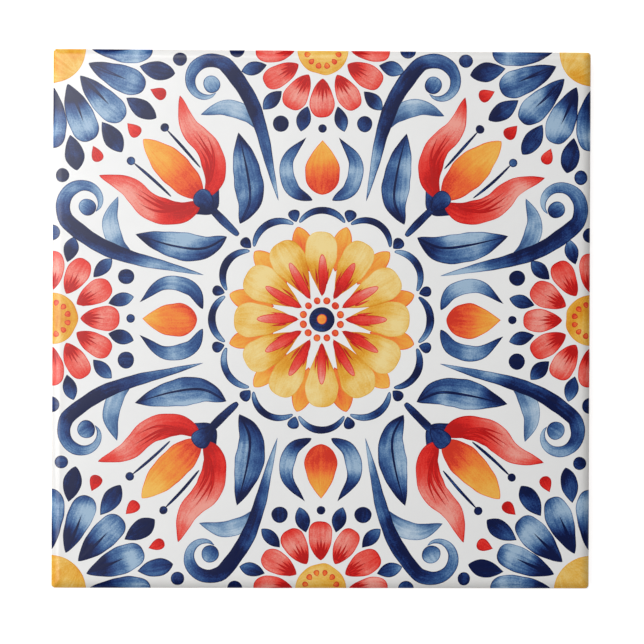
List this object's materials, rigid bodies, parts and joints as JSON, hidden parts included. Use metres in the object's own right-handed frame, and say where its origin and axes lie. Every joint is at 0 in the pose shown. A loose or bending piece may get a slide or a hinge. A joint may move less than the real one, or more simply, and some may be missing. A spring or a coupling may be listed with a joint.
{
  "type": "talavera tile",
  "caption": "Square glazed ceramic wall tile with a cushioned edge, a keyed back for adhesive and a painted floral talavera face.",
  "frame": {"origin": "centre of the back, on the plane of the key ribs that the tile rests on", "axes": "+Z out of the glazed face, +X and +Y along the tile's two sides, towards its right and top edges as the picture shows it"},
  "size_m": [0.152, 0.152, 0.0065],
  "materials": {
    "white_glaze": "gloss",
    "fired_clay": "matte",
    "cobalt_paint": "gloss",
    "sky_paint": "gloss",
    "red_paint": "gloss",
    "orange_paint": "gloss",
    "yellow_paint": "gloss"
  },
  "bodies": {
    "root": {"tile": "white_glaze"}
  },
  "joints": []
}
